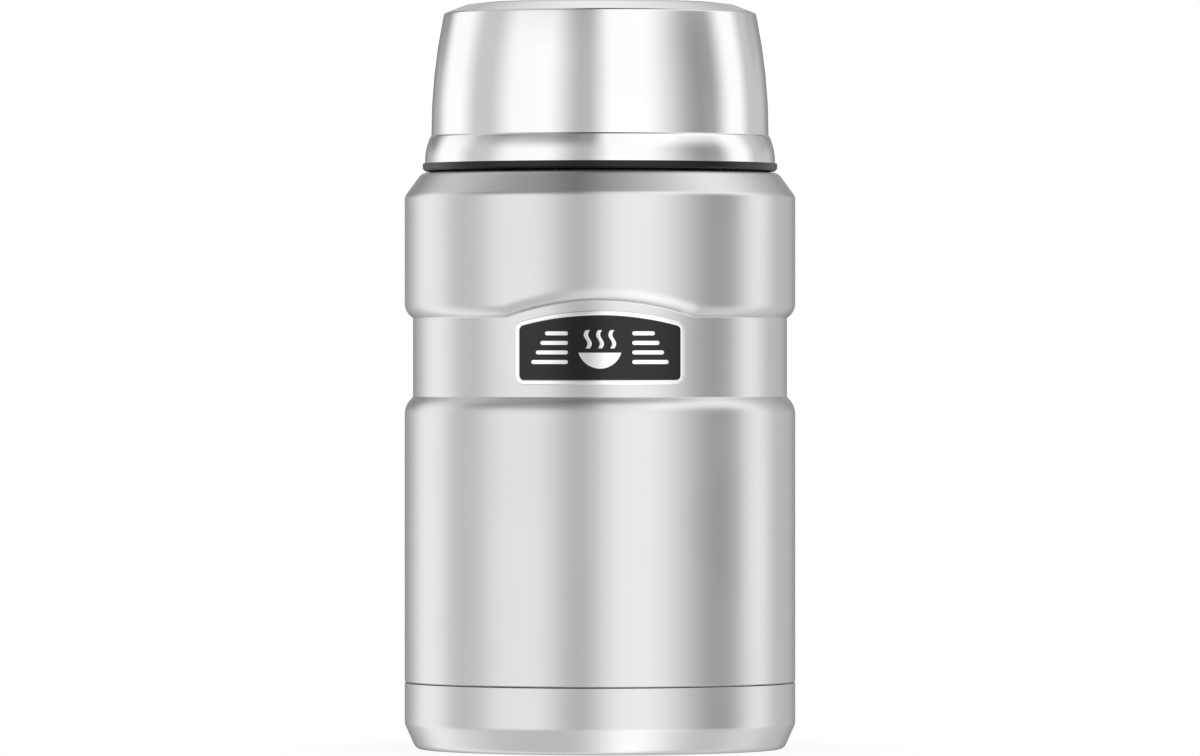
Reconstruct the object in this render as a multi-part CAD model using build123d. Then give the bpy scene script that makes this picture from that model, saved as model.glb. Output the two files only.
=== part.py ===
from build123d import *
from math import asin, ceil, cos, degrees, hypot, pi, radians, sin, sqrt
import os

# Insulated stainless food jar with a screw-in stopper and a screw-on serving bowl that closes over it.
# The jar stands on its foot ring at z = 0 on the Z axis, and its badge faces -Y. Lengths are millimetres.

# ---- Body: outer shell and base cup ----
body_diameter = 104.0
shell_sheet = 0.5  # outer shell, base cup, outer bottom
base_height = 17.85  # from the foot to the seam
lower_height = 75.8  # from the seam to the waist's lower corner
waist_height = 21.05
upper_height = 32.2  # from the waist's upper corner to the shoulder's break
shoulder_height = 6.4
shoulder_run = 4.6  # how far the shoulder comes in
neck_height = 10.0  # from the ledge to the neck's end
waist_depth = 2.2
step_rise = 1.5  # height over which the step above the waist slants in
step_round = 4.5
lower_step_rise = 2.3  # the step below the waist is gentler
lower_step_round = 4.3
waist_corner_round = 0.4
shoulder_round = 1.5
ledge_edge_round = 1.2  # where the shoulder turns into the ledge
ledge_round = 0.7  # where the ledge turns up into the neck
seam_gap = 0.5

# ---- Arch pressed into the shell above the badge ----
arch_half_width = 25.5
arch_rise = 4.25
arch_foot_round = 8.0
arch_section_step = 2.5  # degrees between the sections that shape the arch
fuse_tolerance = 0.001  # where the arch's sections meet the turned shell

# ---- Base ----
base_chamfer_height = 6.7
base_chamfer_run = 3.0
base_chamfer_round = 2.5
foot_round = 2.2
foot_width = 4.4
foot_recess = 2.2
foot_recess_slope = 2.0
foot_recess_round = 0.8
base_fit = 0.1  # base cup over the shell's joggled end
shell_end = 7.2  # height of the shell's lower end
bottom_flange = 4.0
bottom_round = 1.5
evacuation_hole_radius = 1.2
evacuation_head_radius = 2.6
evacuation_head = 0.8
adhesive_width = 3.0
adhesive_height = 3.0

# ---- Inner vessel ----
liner_sheet = 0.4
cavity_radius = 43.0
cavity_floor = 15.0
cavity_floor_round = 8.0
liner_joint = 24.5  # height of the weld between the vessel and its bottom
liner_shoulder_low = 137.5
liner_shoulder_high = 146.5
liner_shoulder_round = 8.0
liner_throat_round = 5.0
rim_round = 0.7
neck_vacuum_gap = 0.8
foil_thickness = 0.2
foil_gap = 0.1
foil_low = 30.0
foil_high = 132.0
getter_radius = 5.0
getter_thickness = 1.4
getter_clip_sheet = 0.4
getter_clip_flange = 2.5
getter_fit = 0.1

# ---- Neck and its thread ----
neck_radius = 37.6  # outside the neck, between the thread ridges
thread_lead = 12.0
thread_starts = 4
thread_height = 1.2
thread_clearance = 0.4
thread_base_width = 1.7
thread_tip_width = 0.8
thread_sink = 0.3  # how far a ridge's root goes into its wall
outer_ridge_span = 75.0  # degrees that one ridge covers
inner_ridge_span = 60.0
ridge_fade = 12.0  # degrees over which a ridge runs out
neck_thread_start = 4.3  # above the ledge, the middle of a ridge's low end

# ---- Stopper ----
stopper_wall = 2.0
stopper_skirt_gap = 0.9  # from the ledge to the skirt
stopper_height = 17.3  # from the skirt's end to the top
stopper_plate = 2.0
stopper_top_round = 1.2
stopper_recess_depth = 0.8
stopper_rim_width = 4.4
plug_clearance = 0.8  # between the plug and the neck's bore
plug_depth = 20.9  # below the rim
plug_wall = 1.6
plug_round = 2.5
plug_flange = 2.0
plug_flange_fit = 0.3
grip_flutes = 48
grip_flute_radius = 1.1
grip_flute_depth = 0.5
grip_low = 9.0  # above the skirt's end
grip_high = 15.4
gasket_thickness = 1.4
gasket_lip = 3.4
gasket_lip_gap = 0.12
gasket_fit = 0.05
foam_fit = 0.1
cup_thread_start = 3.6  # above the skirt's end
arrow_starts = (20, 200)
arrow_radius = 24.0
arrow_width = 2.4
arrow_span = 70.0
arrow_head_span = 16.0
arrow_head_width = 6.4
arrow_proud = 0.5

# ---- Serving bowl ----
cup_sheet = 0.5
ring_gap = 0.4  # between the shell's ledge and the collar's ring
ring_height = 2.0
ring_low_chamfer = 0.65
ring_top_round = 0.3
ring_reach = 0.6  # beyond the skirt
collar_wall = 3.2  # from the collar's bore to the inside of the skirt
skirt_height = 6.8
skirt_upright = 3.7  # the skirt's lower, upright share of its height
skirt_draw = 1.3  # how far the skirt comes in
skirt_round = 16.0
skirt_ledge_height = 0.55
cup_wall_inset = 1.72  # from the skirt's outside to the wall above it
cup_wall_height = 32.6
cup_wall_upright = 16.4
cup_wall_draw = 3.38
cup_wall_round = 152.0
cup_bevel_height = 2.8
cup_bevel_run = 6.9
cup_bevel_round = 0.5
cup_foot_round = 1.5
cup_foot_width = 4.5
cup_foot_recess = 0.9
cup_foot_slope = 1.2
bowl_wall_gap = 1.4  # between the bowl's two walls at the mouth
bowl_floor_gap = 2.8
bowl_floor_round = 6.0
bowl_flange = 1.6
bowl_taper = 2.4
seal_thickness = 0.8
seal_fit = 0.05
seal_width = 1.3
collar_fit = 0.1

# ---- Badge ----
badge_half_width = 22.3
badge_height = 19.4  # at its middle
badge_low = 3.35  # above the waist's lower corner
badge_corner = 2.4
badge_border = 1.25
badge_gap = 0.05
badge_frame_thickness = 0.7
badge_field_thickness = 0.4
motif_thickness = 0.22
motif_line = 1.1
motif_bowl_radius = 5.6
motif_bowl_depth = 4.2
steam_count = 3
steam_spacing = 3.2
steam_height = 4.8
steam_sway = 1.0
stripe_count = 4
stripe_spacing = 2.5
stripe_length = 9.6
stripe_shorten = 1.2
stripe_start = 8.4

# ---- Worked out from the driving sizes ----
body_radius = body_diameter / 2
waist_radius = body_radius - waist_depth
waist_low = base_height + lower_height
waist_top = waist_low + waist_height
waist_split = waist_low + waist_height / 2
shoulder_break = waist_top + upper_height
ledge = shoulder_break + shoulder_height
neck_end = ledge + neck_height
rim = neck_end + liner_sheet
joggle_radius = body_radius - shell_sheet - base_fit
neck_bore = neck_radius - shell_sheet - neck_vacuum_gap - liner_sheet
arch_radius = (arch_half_width**2 + arch_rise**2) / (2 * arch_rise)
arch_reach = sqrt((arch_radius + arch_foot_round) ** 2 - (arch_radius + arch_foot_round - arch_rise) ** 2)
arch_half_angle = arch_section_step * ceil((degrees(asin(arch_reach / waist_radius)) + 1) / arch_section_step)
upper_split = waist_top + arch_rise + 2 * step_round
ridge_pitch = thread_lead / thread_starts

stopper_skirt_low = ledge + stopper_skirt_gap
stopper_top = stopper_skirt_low + stopper_height
stopper_bore = neck_radius + thread_height + thread_clearance
stopper_radius = stopper_bore + stopper_wall
plug_radius = neck_bore - plug_clearance
plug_floor = rim - plug_depth
gasket_low = rim + gasket_fit
plug_flange_low = gasket_low + gasket_thickness + gasket_fit
plug_top = stopper_top - stopper_recess_depth - stopper_plate

collar_low = ledge + ring_gap
collar_bore = stopper_radius + thread_height + thread_clearance
skirt_radius = collar_bore + collar_wall + collar_fit + cup_sheet
ring_radius = skirt_radius + ring_reach
cup_wall_radius = skirt_radius - cup_wall_inset
skirt_low = collar_low + ring_height
cup_wall_low = skirt_low + skirt_height + skirt_ledge_height
cup_wall_high = cup_wall_low + cup_wall_height
cup_bevel_radius = cup_wall_radius - cup_wall_draw
skirt_top_radius = skirt_radius - skirt_draw
cup_top = cup_wall_high + cup_bevel_height
cup_foot_radius = cup_bevel_radius - cup_bevel_run
bowl_radius = cup_wall_radius - cup_sheet - bowl_wall_gap - cup_sheet
bowl_floor = cup_top - cup_foot_recess - cup_sheet - bowl_floor_gap - cup_sheet
bowl_mouth = skirt_low + skirt_height + cup_sheet
seal_low = bowl_mouth - seal_fit - seal_thickness
collar_top = seal_low - seal_fit

badge_bottom = waist_low + badge_low
badge_radius = waist_radius + badge_gap


LEFT = 1
RIGHT = -1


def section(corners):
    """A closed section in the XZ plane, from corners (radius, height) or (radius, height, rounding)."""
    points = [corner[:2] for corner in corners]
    roundings = [corner[2] if len(corner) > 2 else 0 for corner in corners]
    return Plane.XZ * make_face(FilletPolyline(*points, radius=roundings, close=True))


def unit(start, end):
    """Direction from one corner to the next."""
    length = hypot(end[0] - start[0], end[1] - start[1])
    return (end[0] - start[0]) / length, (end[1] - start[1]) / length


def sheet(corners, thickness, side):
    """Section of a sheet whose drawn face runs through the corners, its metal on that side of the way."""
    ways = [unit(corners[i], corners[i + 1]) for i in range(len(corners) - 1)]
    far = []
    for i, corner in enumerate(corners):
        way_in = ways[max(i - 1, 0)]
        way_out = ways[min(i, len(ways) - 1)]
        reach = side * thickness / (1 + way_in[0] * way_out[0] + way_in[1] * way_out[1])
        r = corner[0] - (way_in[1] + way_out[1]) * reach
        z = corner[1] + (way_in[0] + way_out[0]) * reach
        rounding = corner[2] if len(corner) > 2 else 0
        if rounding:
            bend = side * (way_in[0] * way_out[1] - way_in[1] * way_out[0])
            rounding = max(rounding - thickness, 0) if bend > 0 else rounding + thickness
        far.append((r, z, rounding))
    return section(corners + far[::-1])


def turned(face):
    """A full turn of a section about the jar's axis."""
    return revolve(face, Axis.Z, 360)


def at_azimuth(face, azimuth):
    """A section of the XZ plane, turned about the axis to that azimuth in degrees."""
    return Rot(0, 0, azimuth) * face


def arch_lift(angle):
    """How much the waist's upper corner is lifted at an angle from the badge's middle."""
    x = abs(waist_radius * sin(radians(angle)))
    if x >= arch_reach:
        return 0.0
    if x > arch_reach * arch_radius / (arch_radius + arch_foot_round):
        return arch_foot_round - sqrt(arch_foot_round**2 - (arch_reach - x) ** 2)
    return sqrt(arch_radius**2 - x**2) - (arch_radius - arch_rise)


# ---- Outer shell ----
def shell_lower_section():
    """The shell from its joggled end up into the waist."""
    corners = [
        (joggle_radius, shell_end),
        (joggle_radius, base_height - seam_gap / 2),
        (body_radius, base_height + seam_gap / 2),
        (body_radius, waist_low - lower_step_rise, lower_step_round),
        (waist_radius, waist_low, waist_corner_round),
        (waist_radius, waist_split),
    ]
    return sheet(corners, shell_sheet, LEFT)


def shell_step_section(lift):
    """The waist's upper step, lifted by the arch."""
    corners = [
        (waist_radius, waist_split),
        (waist_radius, waist_top + lift, waist_corner_round),
        (body_radius, waist_top + lift + step_rise, step_round),
        (body_radius, upper_split),
    ]
    return sheet(corners, shell_sheet, LEFT)


def shell_upper_section():
    """The shell from above the arch over the shoulder and up the neck."""
    corners = [
        (body_radius, upper_split),
        (body_radius, shoulder_break, shoulder_round),
        (body_radius - shoulder_run, ledge, ledge_edge_round),
        (neck_radius, ledge, ledge_round),
        (neck_radius, neck_end),
    ]
    return sheet(corners, shell_sheet, LEFT)


def outer_shell():
    """Satin outer shell: joggled foot, waist with the arch above the badge, shoulder and threaded neck."""
    front = -90
    half = arch_half_angle
    count = round(2 * half / arch_section_step)
    angles = [-half + arch_section_step * i for i in range(count + 1)]
    arch = loft([at_azimuth(shell_step_section(arch_lift(a)), front + a) for a in angles])
    plain = revolve(at_azimuth(shell_step_section(0), front + half), Axis.Z, 360 - 2 * half)
    upper = turned(shell_upper_section())
    ridges = outer_ridges(neck_radius, ledge + neck_thread_start)
    return turned(shell_lower_section()).fuse(plain, upper, arch, *ridges, tol=fuse_tolerance)


# ---- Thread ridges ----
def ridge(root, crest, low, span, start):
    """One ridge of a thread: a tapered bar along the helix, run out at both ends."""
    out = 1 if crest > root else -1
    steps = 10
    bars = []
    for i in range(steps + 1):
        turn = span * i / steps
        share = min(1.0, (min(turn, span - turn) + 1.0) / ridge_fade)
        tip = root + out * thread_height * share
        tip_half = thread_tip_width / 2
        base_half = thread_base_width / 2
        z = low + thread_lead * turn / 360
        bar = section(
            [
                (root - out * thread_sink, z - base_half),
                (tip, z - tip_half),
                (tip, z + tip_half),
                (root - out * thread_sink, z + base_half),
            ]
        )
        bars.append(at_azimuth(bar, start + turn))
    return loft(bars)


def outer_ridges(root, low):
    """The ridges of an outside thread."""
    return [
        ridge(root, root + thread_height, low, outer_ridge_span, 360 * k / thread_starts)
        for k in range(thread_starts)
    ]


def inner_ridges(root, low):
    """The ridges of the inside thread that grips under an outside thread which starts at that height."""
    crest = root - thread_height
    return [
        ridge(root, crest, low - ridge_pitch / 2, inner_ridge_span, 360 * k / thread_starts)
        for k in range(thread_starts)
    ]


# ---- Base ----
def base_cup():
    """Pressed cup that closes the foot and sleeves over the shell's joggled end."""
    foot_out = body_radius - base_chamfer_run
    foot_in = foot_out - foot_width
    corners = [
        (body_radius, base_height - seam_gap / 2),
        (body_radius, base_chamfer_height, base_chamfer_round),
        (foot_out, 0, foot_round),
        (foot_in, 0, foot_recess_round),
        (foot_in - foot_recess_slope, foot_recess, foot_recess_round),
        (0, foot_recess),
    ]
    return turned(sheet(corners, shell_sheet, RIGHT))


def outer_bottom():
    """Dish that closes the vacuum space, its flange nested in the shell's end."""
    flange_radius = joggle_radius - shell_sheet
    corners = [
        (flange_radius, shell_end),
        (flange_radius, shell_end + bottom_flange, bottom_round),
        (evacuation_hole_radius, shell_end + bottom_flange),
    ]
    return turned(sheet(corners, shell_sheet, LEFT))


def evacuation_seal():
    """Brazed bead that closes the evacuation hole."""
    plate_top = shell_end + bottom_flange
    plate_low = plate_top - shell_sheet
    head_low = plate_low - evacuation_head
    corners = [
        (0, plate_top),
        (evacuation_hole_radius, plate_top),
        (evacuation_hole_radius, plate_low),
        (evacuation_head_radius, plate_low),
        (evacuation_head_radius, head_low, evacuation_head / 2),
        (0, head_low),
    ]
    return turned(section(corners))


def base_chamfer_inside(height):
    """Radius of the base cup's inner face at a height within its chamfer."""
    slope = base_chamfer_run / base_chamfer_height
    return body_radius - (base_chamfer_height - height) * slope - shell_sheet * hypot(1, slope)


def base_adhesive_ring():
    """Silicone bead under the shell's end that bonds the base cup to the vessel."""
    low = shell_end - adhesive_height
    outer_low = base_chamfer_inside(low) - base_fit
    outer_top = joggle_radius - shell_sheet / 2
    corners = [
        (outer_top, shell_end),
        (outer_low, low),
        (outer_low - adhesive_width / 2, low),
        (outer_top - adhesive_width, shell_end),
    ]
    return turned(section(corners))


# ---- Inner vessel ----
def inner_vessel():
    """Liner with the mouth's rolled rim, its throat and its straight wall."""
    corners = [
        (neck_radius, rim),
        (neck_bore, rim, rim_round),
        (neck_bore, liner_shoulder_high, liner_throat_round),
        (cavity_radius, liner_shoulder_low, liner_shoulder_round),
        (cavity_radius, liner_joint),
    ]
    return turned(sheet(corners, liner_sheet, LEFT))


def inner_bottom():
    """Dish welded under the liner's wall."""
    corners = [
        (cavity_radius, liner_joint),
        (cavity_radius, cavity_floor, cavity_floor_round),
        (0, cavity_floor),
    ]
    return turned(sheet(corners, liner_sheet, LEFT))


def radiation_foil():
    """Copper foil wrapped round the liner inside the vacuum space."""
    inner = cavity_radius + liner_sheet + foil_gap
    outer = inner + foil_thickness
    return turned(section([(inner, foil_low), (outer, foil_low), (outer, foil_high), (inner, foil_high)]))


def getter_clip():
    """Spot-welded clip under the liner's floor that holds the getter."""
    top = cavity_floor - liner_sheet
    bore = getter_radius + getter_fit
    depth = getter_thickness + getter_clip_sheet
    return turned(
        section(
            [
                (0, top),
                (bore + getter_clip_flange, top),
                (bore + getter_clip_flange, top - getter_clip_sheet),
                (bore + getter_clip_sheet, top - getter_clip_sheet),
                (bore + getter_clip_sheet, top - depth),
                (bore, top - depth),
                (bore, top - getter_clip_sheet),
                (0, top - getter_clip_sheet),
            ]
        )
    )


def getter_pellet():
    """Getter that keeps the vacuum."""
    top = cavity_floor - liner_sheet - getter_clip_sheet
    low = top - getter_thickness
    return turned(section([(0, top), (getter_radius, top), (getter_radius, low), (0, low)]))


# ---- Stopper ----
def polar(radius, angle):
    """A point of the XY plane."""
    return radius * cos(radians(angle)), radius * sin(radians(angle))


def turn_arrow(start):
    """A raised curved arrow on the stopper's top that points the way it unscrews."""
    inner = arrow_radius - arrow_width / 2
    outer = arrow_radius + arrow_width / 2
    middle = start + arrow_span / 2
    end = start + arrow_span
    shaft = make_face(
        [
            ThreePointArc(polar(inner, start), polar(inner, middle), polar(inner, end)).edge(),
            Line(polar(inner, end), polar(outer, end)).edge(),
            ThreePointArc(polar(outer, end), polar(outer, middle), polar(outer, start)).edge(),
            Line(polar(outer, start), polar(inner, start)).edge(),
        ]
    )
    head = make_face(
        Polyline(
            polar(arrow_radius - arrow_head_width / 2, end - 1),
            polar(arrow_radius + arrow_head_width / 2, end - 1),
            polar(arrow_radius, end - 1 + arrow_head_span),
            close=True,
        )
    )
    floor = stopper_top - stopper_recess_depth
    return Pos(0, 0, floor - thread_sink) * extrude(shaft + head, arrow_proud + thread_sink, dir=(0, 0, 1))


def stopper_cap():
    """Black cap of the stopper: threaded skirt, fluted grip and a recessed top with turning arrows."""
    floor = stopper_top - stopper_recess_depth
    recess = stopper_radius - stopper_rim_width
    corners = [
        (stopper_bore, stopper_skirt_low),
        (stopper_radius, stopper_skirt_low),
        (stopper_radius, stopper_top, stopper_top_round),
        (recess, stopper_top),
        (recess - stopper_recess_depth, floor),
        (0, floor),
        (0, plug_top),
        (stopper_bore, plug_top),
    ]
    cap = turned(section(corners))
    flute_reach = stopper_radius - grip_flute_depth + grip_flute_radius
    flute = extrude(Circle(grip_flute_radius), grip_high - grip_low, dir=(0, 0, 1))
    flute = Pos(flute_reach, 0, stopper_skirt_low + grip_low) * flute
    cap = cap.cut(*[Rot(0, 0, 360 * k / grip_flutes) * flute for k in range(grip_flutes)])
    ridges = outer_ridges(stopper_radius, stopper_skirt_low + cup_thread_start)
    ridges = ridges + inner_ridges(stopper_bore, ledge + neck_thread_start)
    arrows = [turn_arrow(start) for start in arrow_starts]
    return cap.fuse(*ridges, *arrows)


def stopper_plug():
    """Hollow plug that reaches into the mouth and carries the gasket."""
    flange_radius = stopper_bore - plug_flange_fit
    inside = plug_radius - plug_wall
    corners = [
        (0, plug_floor),
        (plug_radius, plug_floor, plug_round),
        (plug_radius, plug_flange_low),
        (flange_radius, plug_flange_low),
        (flange_radius, plug_flange_low + plug_flange),
        (plug_radius, plug_flange_low + plug_flange),
        (plug_radius, plug_top),
        (inside, plug_top),
        (inside, plug_floor + plug_wall),
        (0, plug_floor + plug_wall),
    ]
    return turned(section(corners))


def stopper_foam():
    """Foam puck that fills the plug."""
    radius = plug_radius - plug_wall - foam_fit
    low = plug_floor + plug_wall + foam_fit
    high = plug_top - foam_fit
    return turned(section([(0, low), (radius, low), (radius, high), (0, high)]))


def stopper_gasket():
    """Silicone gasket: a flat ring on the rim with a lip down the mouth."""
    inner = plug_radius + gasket_fit
    lip = neck_bore - gasket_lip_gap
    outer = stopper_bore - 2 * plug_flange_fit
    top = gasket_low + gasket_thickness
    throat = rim - rim_round - gasket_lip
    return turned(
        section(
            [
                (inner, throat),
                (lip, throat),
                (lip, gasket_low),
                (outer, gasket_low),
                (outer, top),
                (inner, top),
            ]
        )
    )


# ---- Serving bowl ----
def cup_outer_shell():
    """Polished outer shell of the serving bowl, flat on top where the bowl stands when it is turned over."""
    foot_in = cup_foot_radius - cup_foot_width
    corners = [
        (skirt_radius, skirt_low),
        (skirt_radius, skirt_low + skirt_upright, skirt_round),
        (skirt_top_radius, skirt_low + skirt_height),
        (cup_wall_radius, cup_wall_low),
        (cup_wall_radius, cup_wall_low + cup_wall_upright, cup_wall_round),
        (cup_bevel_radius, cup_wall_high, cup_bevel_round),
        (cup_foot_radius, cup_top, cup_foot_round),
        (foot_in, cup_top),
        (foot_in - cup_foot_slope, cup_top - cup_foot_recess),
        (0, cup_top - cup_foot_recess),
    ]
    return turned(sheet(corners, cup_sheet, LEFT))


def cup_inner_shell():
    """Bowl that the food is served in, flanged where it meets the collar's seal."""
    corners = [
        (bowl_radius + bowl_flange, bowl_mouth),
        (bowl_radius, bowl_mouth, cup_sheet / 2),
        (bowl_radius - bowl_taper, bowl_floor, bowl_floor_round),
        (0, bowl_floor),
    ]
    return turned(sheet(corners, cup_sheet, RIGHT))


def cup_seal():
    """Flat silicone washer between the collar and the bowl's flange."""
    inner = bowl_radius + cup_sheet
    outer = inner + seal_width
    top = seal_low + seal_thickness
    return turned(section([(inner, seal_low), (outer, seal_low), (outer, top), (inner, top)]))


def cup_collar():
    """Black threaded collar whose ring shows under the bowl's skirt."""
    skirt_inside = skirt_radius - cup_sheet - collar_fit
    top_radius = skirt_top_radius - cup_sheet - 3 * collar_fit
    corners = [
        (collar_bore, collar_low),
        (ring_radius - ring_low_chamfer, collar_low),
        (ring_radius, collar_low + ring_low_chamfer),
        (ring_radius, skirt_low, ring_top_round),
        (skirt_inside, skirt_low),
        (skirt_inside - collar_fit, skirt_low + skirt_upright / 2),
        (top_radius, collar_top),
        (collar_bore, collar_top),
    ]
    ridges = inner_ridges(collar_bore, stopper_skirt_low + cup_thread_start)
    return turned(section(corners)).fuse(*ridges)


# ---- Badge ----
def wrapped(sketch, inner, thickness):
    """A flat sketch in the XZ plane laid on the waist as a curved plate of that thickness."""
    block = extrude(sketch, body_radius * 1.2, dir=(0, -1, 0))
    band = Cylinder(inner + thickness, 3 * body_radius) - Cylinder(inner, 3 * body_radius)
    return block & (Pos(0, 0, waist_low + waist_height / 2) * band)


def badge_outline(inset):
    """Arch-topped plate outline, drawn in by the inset."""
    half = badge_half_width - inset
    low = badge_bottom + inset
    top = badge_bottom + badge_height - inset
    curve = arch_radius - inset
    sag = curve - sqrt(curve**2 - half**2)
    sides = Polyline((-half, top - sag), (-half, low), (half, low), (half, top - sag))
    crown = ThreePointArc((half, top - sag), (0, top), (-half, top - sag))
    plate = make_face(Plane.XZ * Curve([sides, crown]))
    corner = max(badge_corner - inset, badge_border)
    return fillet(plate.vertices(), corner)


def badge_frame():
    """Bright border of the badge."""
    border = badge_outline(0) - badge_outline(badge_border)
    return wrapped(border, badge_radius, badge_frame_thickness)


def badge_field():
    """Black enamel plate inside the border."""
    return wrapped(badge_outline(badge_border + badge_gap), badge_radius, badge_field_thickness)


def steam_stroke(x, low):
    """One wavering line of steam."""
    middle = [(x + steam_sway / 2 * sin(pi * t / 2), low + steam_height * t / 4) for t in range(5)]
    left = Spline(*[(r - motif_line / 2, z) for r, z in middle])
    right = Spline(*[(r + motif_line / 2, z) for r, z in middle])
    return Plane.XZ * make_face(
        [left.edge(), Line(left @ 1, right @ 1).edge(), right.edge(), Line(right @ 0, left @ 0).edge()]
    )


def badge_motif():
    """Bright generic figure on the badge: a steaming bowl between short rules."""
    middle = badge_bottom + badge_height / 2
    bowl_top = middle - steam_height / 2 + motif_line
    radius = motif_bowl_radius
    rim_line = Line((-radius, bowl_top), (radius, bowl_top))
    belly = ThreePointArc((radius, bowl_top), (0, bowl_top - motif_bowl_depth), (-radius, bowl_top))
    figure = [Plane.XZ * make_face([rim_line.edge(), belly.edge()])]
    for k in range(steam_count):
        figure.append(steam_stroke((k - (steam_count - 1) / 2) * steam_spacing, bowl_top + motif_line))
    for k in range(stripe_count):
        z = middle + (k - (stripe_count - 1) / 2) * stripe_spacing
        length = stripe_length - stripe_shorten * k
        for side in (-1, 1):
            place = Pos(side * (stripe_start + length / 2), z)
            figure.append(Plane.XZ * place * SlotOverall(length, motif_line))
    strokes = [wrapped(face, badge_radius + badge_field_thickness, motif_thickness) for face in figure]
    return Compound(children=[solid for stroke in strokes for solid in stroke.solids()])


makers = [
    outer_shell,
    base_cup,
    outer_bottom,
    evacuation_seal,
    base_adhesive_ring,
    inner_vessel,
    inner_bottom,
    radiation_foil,
    getter_clip,
    getter_pellet,
    badge_frame,
    badge_field,
    badge_motif,
    stopper_gasket,
    stopper_cap,
    stopper_plug,
    stopper_foam,
    cup_seal,
    cup_collar,
    cup_outer_shell,
    cup_inner_shell,
]

os.makedirs("parts", exist_ok=True)
for make in makers:
    export_step(make(), f"parts/{make.__name__}.step")
print("height", round(cup_top, 2), "ledge", round(ledge, 2), "rim", round(rim, 2))
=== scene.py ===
# %% [markdown]
# # Insulated food jar
# A steel jar is mostly turned sheet: one outline, spun round one axis. The script loads the fixed CAD frame, sets the
# studio, then makes each piece from a short outline and gives it a finish built from nodes. Everything is in metres.
# The jar stands at the origin, +Z is up and the badge faces -Y.

# %% Load the frame
from contextlib import contextmanager
from inspect import signature
from math import asin, ceil, cos, degrees, pi, radians, sin, sqrt, tan

import bmesh
import bpy
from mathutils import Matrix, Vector


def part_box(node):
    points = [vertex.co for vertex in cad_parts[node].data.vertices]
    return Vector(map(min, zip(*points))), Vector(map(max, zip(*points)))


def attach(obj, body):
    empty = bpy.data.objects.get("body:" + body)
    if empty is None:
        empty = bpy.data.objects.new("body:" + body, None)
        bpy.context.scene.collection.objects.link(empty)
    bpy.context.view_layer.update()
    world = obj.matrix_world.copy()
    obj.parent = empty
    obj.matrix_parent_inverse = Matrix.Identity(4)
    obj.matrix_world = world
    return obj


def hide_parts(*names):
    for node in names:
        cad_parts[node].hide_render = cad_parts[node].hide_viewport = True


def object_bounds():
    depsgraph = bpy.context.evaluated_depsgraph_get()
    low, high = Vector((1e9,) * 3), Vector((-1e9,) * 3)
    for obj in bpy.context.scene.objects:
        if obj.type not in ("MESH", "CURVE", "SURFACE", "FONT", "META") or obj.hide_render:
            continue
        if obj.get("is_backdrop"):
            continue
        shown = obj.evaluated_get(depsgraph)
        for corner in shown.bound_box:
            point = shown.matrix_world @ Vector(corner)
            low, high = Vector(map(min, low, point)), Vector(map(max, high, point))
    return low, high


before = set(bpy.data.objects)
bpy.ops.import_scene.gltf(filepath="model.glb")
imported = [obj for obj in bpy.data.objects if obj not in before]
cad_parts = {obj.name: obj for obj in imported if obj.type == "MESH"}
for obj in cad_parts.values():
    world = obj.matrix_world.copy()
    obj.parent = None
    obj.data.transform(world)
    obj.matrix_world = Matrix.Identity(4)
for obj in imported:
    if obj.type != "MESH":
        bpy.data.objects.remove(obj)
cad_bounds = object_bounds()
mm = 0.001

# %% [markdown]
# ## Sizes
# Heights and widths that pieces share come from the CAD nodes' own boxes, so nothing here can drift from the frame.
# Only what a box can't tell, such as a rounding, is written as a number.

# %% Sizes read from the frame
shell_foot, shell_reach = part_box("outer_shell")
base_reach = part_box("base_cup")[1]
cup_skirt, cup_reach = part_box("cup_outer_shell")
bowl_lip, bowl_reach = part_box("cup_inner_shell")
collar_foot, collar_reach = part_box("cup_collar")
badge_foot, badge_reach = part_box("badge_frame")
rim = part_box("inner_vessel")[1].z
dish_foot, dish_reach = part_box("inner_bottom")
cap_foot, cap_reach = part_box("stopper_cap")
plug_foot, plug_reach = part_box("stopper_plug")
gasket_foot, gasket_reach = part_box("stopper_gasket")
body_radius = base_reach.x
cup_top = cup_reach.z
print("jar", round(2 * body_radius / mm, 1), "mm across and", round(cup_top / mm, 1), "mm high")

# %% [markdown]
# ## Camera
# A long lens far from the jar keeps its sides upright, as in a studio shot. It looks level from about half the jar's
# height, and a small shift sets foot and top at equal margins.

# %% Camera
camera_distance, camera_height = 2.694, 0.1019


def new_piece(name, data):
    """An object that holds a mesh, a curve or a camera, in the scene at the origin."""
    piece = bpy.data.objects.new(name, data)
    bpy.context.collection.objects.link(piece)
    return piece


camera_data = bpy.data.cameras.new("studio_camera")
camera_data.lens = 303.4
camera_data.sensor_width = 36.0
camera_data.shift_y = -0.01
camera_data.clip_end = 20.0
camera = new_piece("studio_camera", camera_data)
camera.location = (0, -camera_distance, camera_height)
camera.rotation_euler = (pi / 2, 0, 0)
bpy.context.scene.camera = camera
bpy.context.scene.view_settings.view_transform = "Standard"
print("camera", camera_distance, "m away, lens", round(camera_data.lens, 1), "mm")

# %% [markdown]
# ## Helpers for node trees
# Shader and geometry trees are built alike: a node is added, its settings are set, and each socket gets a value or
# another node's output. Many Math nodes read best as a formula, so a number in a tree is wrapped in a small class
# that makes a Math node for each plus, minus, times and divided by.

# %% Numbers in a tree
class Number:
    """A number inside a node tree that can be used in a formula."""

    def __init__(self, tree, socket):
        self.tree = tree
        self.socket = socket

    def by(self, operation, *others):
        """The result of a Math node on this number and up to two others."""
        return calc(self.tree, operation, self, *others)

    def __add__(self, other):
        return self.by("ADD", other)

    def __sub__(self, other):
        return self.by("SUBTRACT", other)

    def __rsub__(self, other):
        return calc(self.tree, "SUBTRACT", other, self)

    def __mul__(self, other):
        return self.by("MULTIPLY", other)

    def __truediv__(self, other):
        return self.by("DIVIDE", other)

    def __rtruediv__(self, other):
        return calc(self.tree, "DIVIDE", other, self)


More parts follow.
